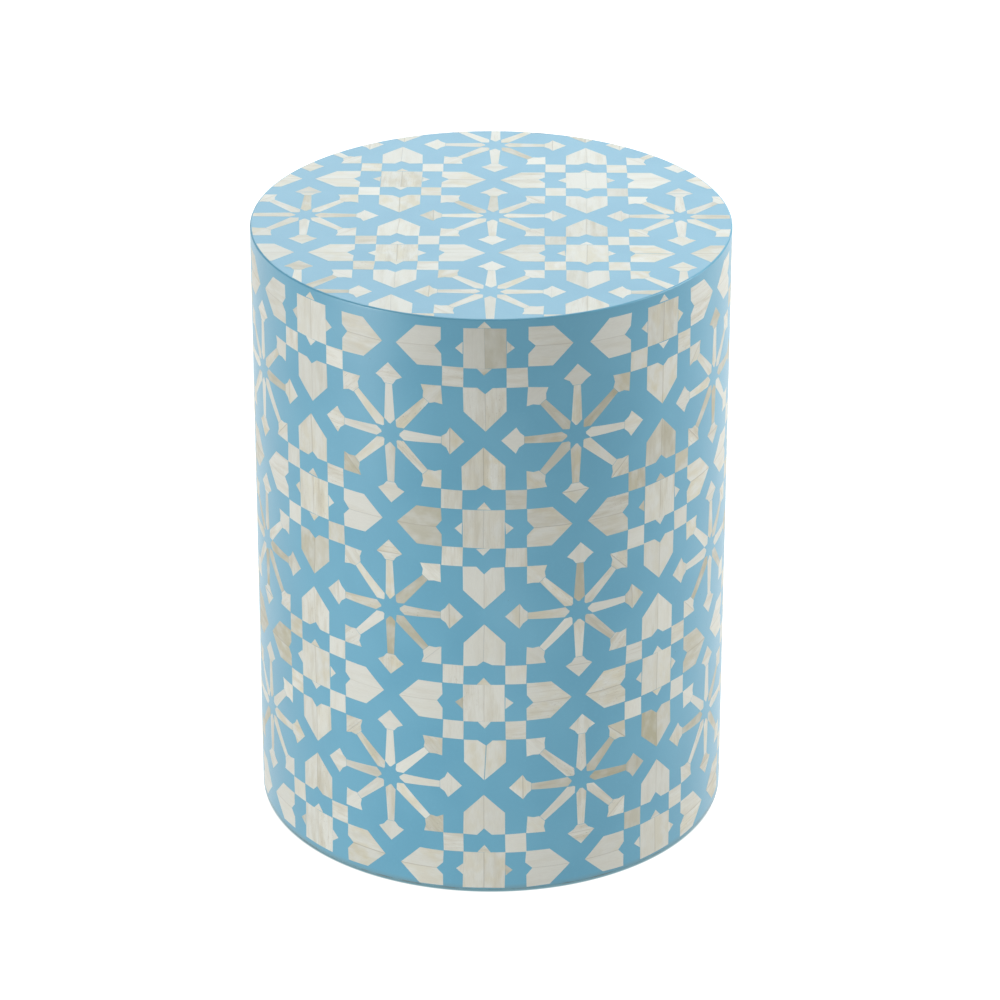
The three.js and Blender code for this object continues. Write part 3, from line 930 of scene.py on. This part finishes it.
def plywood_material(sheet):
    """Three-ply poplar sheet, bent round the formers: pale rotary-cut faces with a long soft figure. Its
    raw edge shows dark glue lines and the end grain of the middle veneer."""
    material, tree, shader = new_material(f"poplar_plywood_{sheet}", roughness=0.7, ior=1.5)
    place = object_place(tree)
    figure = noise(tree, place, PLY_FIGURE)
    pores = noise(tree, place, PLY_PORE, detail=2)
    base = mixed(tree, ranged(tree, figure, 0.35, 0.65), linear("#dfcba6"), linear("#cbb084"))
    base = mixed(tree, ranged(tree, pores, 0.55, 0.75, 0, 0.4), base, linear("#a98c62"))
    radius = axis_distance(tree, place)
    middle_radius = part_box(sheet)[1].x / MM - PLY_THICKNESS / 2
    off_middle = add(tree, "Math", {0: radius, 1: middle_radius}, operation="SUBTRACT").outputs["Value"]
    from_middle = add(tree, "Math", {0: off_middle}, operation="ABSOLUTE").outputs["Value"]
    half_veneer = PLY_THICKNESS / VENEERS / 2
    core = ranged(tree, from_middle, half_veneer, half_veneer - GLUE_LINE, 0, 0.8)
    base = mixed(tree, core, base, linear("#b08f62"))
    off_glue = add(tree, "Math", {0: from_middle, 1: half_veneer}, operation="SUBTRACT").outputs["Value"]
    from_glue = add(tree, "Math", {0: off_glue}, operation="ABSOLUTE").outputs["Value"]
    base = mixed(tree, ranged(tree, from_glue, 0, GLUE_LINE, 0.8, 0), base, linear("#6d4f30"))
    tree.links.new(base, shader.inputs["Base Color"])
    bumped(tree, shader, pores, strength=0.5, depth=0.1)
    return material


def pine_material():
    """Sawn pine: straw-coloured early wood between narrow amber rings that run along the batten, left
    rough by the saw."""
    material, tree, shader = new_material("sawn_pine", roughness=0.78, ior=1.5)
    place = object_place(tree)
    along = add(tree, "VectorMath", {0: place, 1: RING_LEAN}, operation="MULTIPLY").outputs["Vector"]
    wave = {"Vector": along, "Scale": WAVE_PERIOD / RING_SPACING, "Distortion": 5, "Detail": 2}
    rings = add(tree, "TexWave", wave, wave_profile="SAW").outputs["Fac"]
    fibres = noise(tree, place, PINE_FIBRE)
    saw_marks = noise(tree, place, SAW_MARK, detail=1)
    base = mixed(tree, ranged(tree, rings, 0.3, 1), linear("#e4cc9f"), linear("#c3955a"))
    base = mixed(tree, ranged(tree, fibres, 0.5, 0.75, 0, 0.4), base, linear("#ab8250"))
    tree.links.new(base, shader.inputs["Base Color"])
    rough = bumped(tree, shader, saw_marks, strength=0.5, depth=0.15)
    bumped(tree, shader, fibres, strength=0.4, depth=0.1, under=rough)
    return material


def fibreboard_material():
    """Medium density fibreboard, unpainted: an even tan of pressed wood fibres, with short pale and dark
    flecks and faint mottling."""
    material, tree, shader = new_material("raw_fibreboard", roughness=0.82, ior=1.5)
    place = object_place(tree)
    mottling = noise(tree, place, BOARD_MOTTLE, detail=2)
    flecks = noise(tree, place, BOARD_FLECK, roughness=0.7)
    base = mixed(tree, ranged(tree, mottling, 0.35, 0.65), linear("#b79a6f"), linear("#b09267"))
    base = mixed(tree, ranged(tree, flecks, 0.55, 0.7, 0, 0.6), base, linear("#d0b68b"))
    base = mixed(tree, ranged(tree, flecks, 0.42, 0.3, 0, 0.6), base, linear("#7f6441"))
    tree.links.new(base, shader.inputs["Base Color"])
    bumped(tree, shader, flecks, strength=0.35, depth=0.08)
    return material


def nylon_material():
    """Natural moulded nylon: milky white with a waxy low gloss and the fine texture of the mould."""
    material, tree, shader = new_material("moulded_nylon", roughness=0.42, ior=1.53)
    place = object_place(tree)
    cloudy = noise(tree, place, NYLON_CLOUD, detail=2)
    texture = noise(tree, place, MOULD_TEXTURE, detail=2)
    base = mixed(tree, ranged(tree, cloudy, 0.35, 0.65), linear("#ebe8df"), linear("#e3dfd2"))
    tree.links.new(base, shader.inputs["Base Color"])
    tree.links.new(ranged(tree, texture, 0.3, 0.7, 0.36, 0.48), shader.inputs["Roughness"])
    bumped(tree, shader, texture, strength=0.3, depth=0.03)
    return material


def zinc_material():
    """Zinc-plated steel, cold headed and passivated: a bright grey metal with a faint yellow and blue
    bloom."""
    material, tree, shader = new_material("zinc_plated_steel", roughness=0.34, ior=1.5)
    shader.inputs["Metallic"].default_value = 1
    place = object_place(tree)
    bloom = noise(tree, place, ZINC_BLOOM, detail=2)
    crystals = noise(tree, place, ZINC_CRYSTAL, detail=2)
    base = mixed(tree, ranged(tree, bloom, 0.4, 0.6), linear("#c2c7cb"), linear("#cdc7b4"))
    tree.links.new(base, shader.inputs["Base Color"])
    tree.links.new(ranged(tree, crystals, 0.3, 0.7, 0.26, 0.42), shader.inputs["Roughness"])
    bumped(tree, shader, crystals, strength=0.2, depth=0.02)
    return material


def dress(names, material):
    """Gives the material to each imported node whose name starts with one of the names."""
    for name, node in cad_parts.items():
        if name.startswith(names):
            for slot in node.material_slots:
                slot.material = material


# The whole stool


def make_stool():
    """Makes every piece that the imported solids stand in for, and finishes the rest."""
    bone = bone_material()
    stars, rosettes = side_grid()
    for column in range(COLUMNS):
        side_bone(column, stars, rosettes, bone)
    seat_bone(bone)
    resin_skin(resin_material())
    ply_wrap("outer_ply_wrap", UPRIGHT, plywood_material("outer_ply_wrap"))
    ply_wrap("inner_ply_wrap", -UPRIGHT, plywood_material("inner_ply_wrap"))
    fibreboard = fibreboard_material()
    dress(("seat_board", "lower_former", "middle_former", "upper_former"), fibreboard)
    dress(("batten",), pine_material())
    base_disc(fibreboard)
    base_screws(zinc_material())
    nylon = nylon_material()
    for number in range(1, GLIDE_COUNT + 1):
        turned_glide(number, nylon)


# The studio


def make_camera():
    """A long lens, shifted so that the stool's middle is where the photograph has it."""
    data = bpy.data.cameras.new("camera")
    data.lens = FOCAL_LENGTH
    data.shift_x = (PICTURE_WIDTH / 2 - TARGET_PIXEL[0]) / PICTURE_WIDTH
    data.shift_y = (TARGET_PIXEL[1] - PICTURE_WIDTH / 2) / PICTURE_WIDTH
    camera = bpy.data.objects.new("camera", data)
    bpy.context.scene.collection.objects.link(camera)
    level = math.cos(CAMERA_ELEVATION)
    right = math.sin(CAMERA_AZIMUTH) * level
    front = math.cos(CAMERA_AZIMUTH) * level
    back = Vector((right, -front, math.sin(CAMERA_ELEVATION)))
    camera.location = Vector((0, 0, TARGET_HEIGHT)) + back * CAMERA_DISTANCE
    camera.rotation_euler = back.to_track_quat("Z", "Y").to_euler()
    bpy.context.scene.camera = camera


def make_softbox(name, place, size, brightness, colour="#ffffff", aim=TARGET_HEIGHT, mirrored=True):
    """A square light that faces the stool's axis at the height aim. A brightness of 1 shows as white.
    One that isn't mirrored lights the stool without showing in its gloss."""
    data = bpy.data.lights.new(name, "AREA")
    data.shape = "SQUARE"
    data.size = size
    data.energy = brightness * math.pi * size**2
    data.color = linear(colour)[:3]
    light = bpy.data.objects.new(name, data)
    bpy.context.scene.collection.objects.link(light)
    light.location = place
    towards = Vector(place) - Vector((0, 0, aim))
    light.rotation_euler = towards.to_track_quat("Z", "Y").to_euler()
    light.visible_camera = False
    light.visible_glossy = mirrored


def make_floor():
    """A white floor, lit from below as a studio's is, with a painted shadow in its glow under the drum.
    """
    mesh = bmesh.new()
    bmesh.ops.create_circle(mesh, cap_ends=True, segments=FLOOR_STEPS, radius=FLOOR_RADIUS)
    data = bpy.data.meshes.new("floor")
    mesh.to_mesh(data)
    mesh.free()
    material, tree, shader = new_material("lit_white_floor", roughness=0.9, ior=1.45)
    # Painted shadow: under the drum the floor's glow fades to a grey blue.
    distance = axis_distance(tree, object_place(tree))
    shade = ranged(tree, distance, DRUM_RADIUS, DRUM_RADIUS - PAINTED_SHADE_EDGE)
    glow = mixed(tree, shade, linear("#fffefb"), linear("#5c848f"))
    tree.links.new(glow, shader.inputs["Emission Color"])
    shader.inputs["Base Color"].default_value = linear("#8c8c8c")
    shader.inputs["Specular IOR Level"].default_value = 0
    shader.inputs["Emission Strength"].default_value = FLOOR_GLOW
    material.cycles.emission_sampling = "NONE"
    data.materials.append(material)
    floor = bpy.data.objects.new("floor", data)
    bpy.context.scene.collection.objects.link(floor)
    floor.visible_diffuse = False


def make_world():
    """The faint light of the room's white walls."""
    world = bpy.data.worlds.new("studio")
    world.use_nodes = True
    background = world.node_tree.nodes["Background"]
    background.inputs["Color"].default_value = linear("#fdfdfd")
    background.inputs["Strength"].default_value = ROOM_GLOW
    bpy.context.scene.world = world


def make_studio():
    """Soft light from behind, above and both sides, and what the floor gives back to the front."""
    make_camera()
    make_softbox("back_softbox", place=(0, 3, 1.8), size=2.6, brightness=2.05, colour="#fafcff")
    make_softbox("top_softbox", place=(0, 0.3, 2.4), size=1.6, brightness=2.4, colour="#f3fcff")
    make_softbox("left_softbox", place=(-1.46, -1, 0.12), size=0.6, brightness=20.5)
    make_softbox("right_softbox", place=(2.63, 0.09, 1.4), size=1.8, brightness=5.9)
    make_softbox(
        "floor_bounce", place=(0.1, -0.62, 0.02), size=0.25, brightness=5, aim=0.1, mirrored=False
    )
    make_floor()
    make_world()
    bpy.context.scene.view_settings.view_transform = "Standard"


make_stool()
make_studio()
